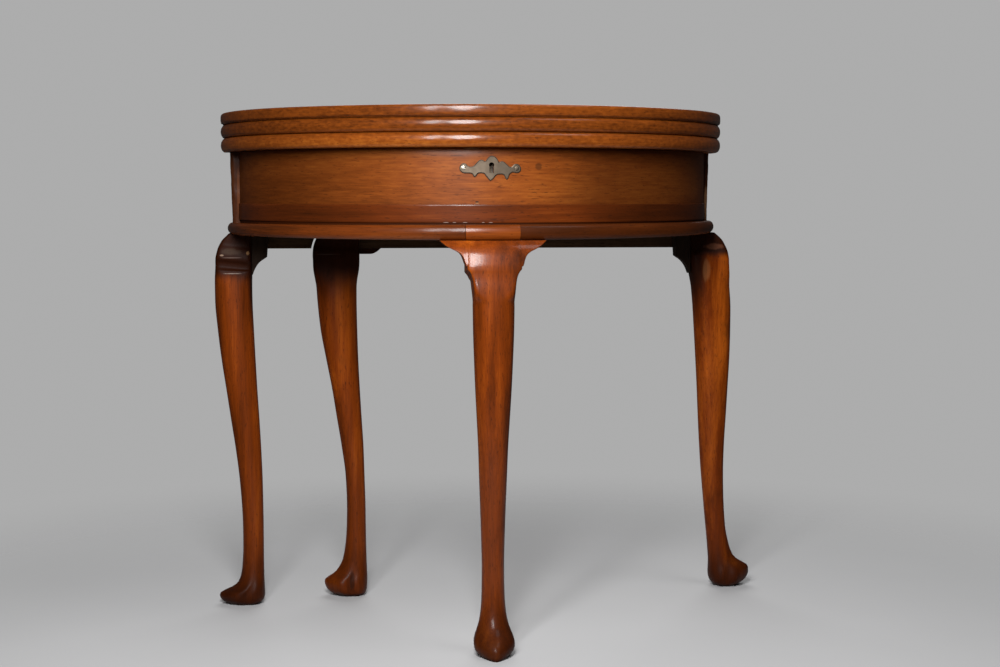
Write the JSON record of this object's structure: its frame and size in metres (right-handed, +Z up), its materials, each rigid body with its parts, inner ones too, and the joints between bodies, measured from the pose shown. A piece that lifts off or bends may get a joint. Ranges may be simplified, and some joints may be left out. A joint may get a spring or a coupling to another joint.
{
  "type": "fold over card table",
  "caption": "Half-round folding card table: stacked hinged leaves over a bowed frieze with a locked well, on cabriole legs with pad feet and a swinging gate leg.",
  "frame": {"origin": "on the floor under the middle of the whole table's bounding box", "axes": "+X along the straight back edge to the right seen from the front, +Y from the bowed front to the straight back, +Z up"},
  "size_m": [0.8264, 0.4412, 0.7299],
  "materials": {
    "mahogany": "polished reddish brown mahogany, worn",
    "leaf_mahogany": "polished reddish brown mahogany leaves",
    "secondary_wood": "unpolished darkened secondary timber",
    "baize": "green wool baize",
    "brass": "aged brass",
    "iron": "dark iron"
  },
  "bodies": {
    "frame": {"back_rail": "secondary_wood", "base_bead_centre": "mahogany", "base_bead_left": "mahogany", "base_bead_right": "mahogany", "bow_frieze": "mahogany", "escutcheon": "brass", "frieze_band": "mahogany", "front_leg": "mahogany", "front_leg_ear_left": "mahogany", "front_leg_ear_right": "mahogany", "glue_block_1": "secondary_wood", "glue_block_2": "secondary_wood", "glue_block_3": "secondary_wood", "glue_block_4": "secondary_wood", "hinge_rail": "secondary_wood", "knuckle_pin": "iron", "left_leg": "mahogany", "left_leg_ear": "mahogany", "lid_hinge_left_pin": "brass", "lid_hinge_left_rail_plate": "brass", "lid_hinge_right_pin": "brass", "lid_hinge_right_rail_plate": "brass", "lock_case": "iron", "right_leg": "mahogany", "right_leg_ear": "mahogany", "stub_rail": "secondary_wood", "well_bottom": "secondary_wood"},
    "lower_leaf": {"lid_hinge_left_leaf_plate": "brass", "lid_hinge_right_leaf_plate": "brass", "lower_baize": "baize", "lower_hinge_left_bottom_plate": "brass", "lower_hinge_left_pin": "brass", "lower_hinge_right_bottom_plate": "brass", "lower_hinge_right_pin": "brass", "lower_leaf": "leaf_mahogany", "strike_plate": "brass"},
    "middle_leaf": {"lower_hinge_left_top_plate": "brass", "lower_hinge_right_top_plate": "brass", "middle_baize": "baize", "middle_leaf": "leaf_mahogany", "upper_hinge_left_bottom_plate": "brass", "upper_hinge_left_pin": "brass", "upper_hinge_right_bottom_plate": "brass", "upper_hinge_right_pin": "brass"},
    "top_leaf": {"top_leaf": "leaf_mahogany", "upper_hinge_left_top_plate": "brass", "upper_hinge_right_top_plate": "brass"},
    "gate": {"fly_rail": "secondary_wood", "gate_leg": "mahogany", "gate_leg_ear": "mahogany", "prop_screw": "iron"},
    "leaf_prop": {"leaf_prop": "secondary_wood"},
    "lock_bolt": {"lock_bolt": "brass"}
  },
  "joints": [
    {"name": "lower_leaf_lift", "type": "hinge", "parent": "frame", "child": "lower_leaf", "pos_m": [-0.02864, 0.18571, 0.6737], "axis": [-1, 0, 0], "range_deg": [0, 90]},
    {"name": "middle_leaf_fold", "type": "hinge", "parent": "lower_leaf", "child": "middle_leaf", "pos_m": [-0.02864, 0.18571, 0.6939], "axis": [1, 0, 0], "range_deg": [-180, 0]},
    {"name": "top_leaf_fold", "type": "hinge", "parent": "middle_leaf", "child": "top_leaf", "pos_m": [-0.02864, 0.18571, 0.7137], "axis": [-1, 0, 0], "range_deg": [0, 180]},
    {"name": "gate_swing", "type": "hinge", "parent": "frame", "child": "gate", "pos_m": [-0.00864, 0.18921, 0.594], "axis": [0, 0, 1], "range_deg": [-90, 0]},
    {"name": "prop_turn", "type": "hinge", "parent": "gate", "child": "leaf_prop", "pos_m": [-0.08864, 0.20376, 0.6], "axis": [0, 1, 0], "range_deg": [0, 180]},
    {"name": "lock_bolt_slide", "type": "slide", "parent": "frame", "child": "lock_bolt", "axis": [0, 0, 1], "range_m": [0, 0.008]}
  ]
}
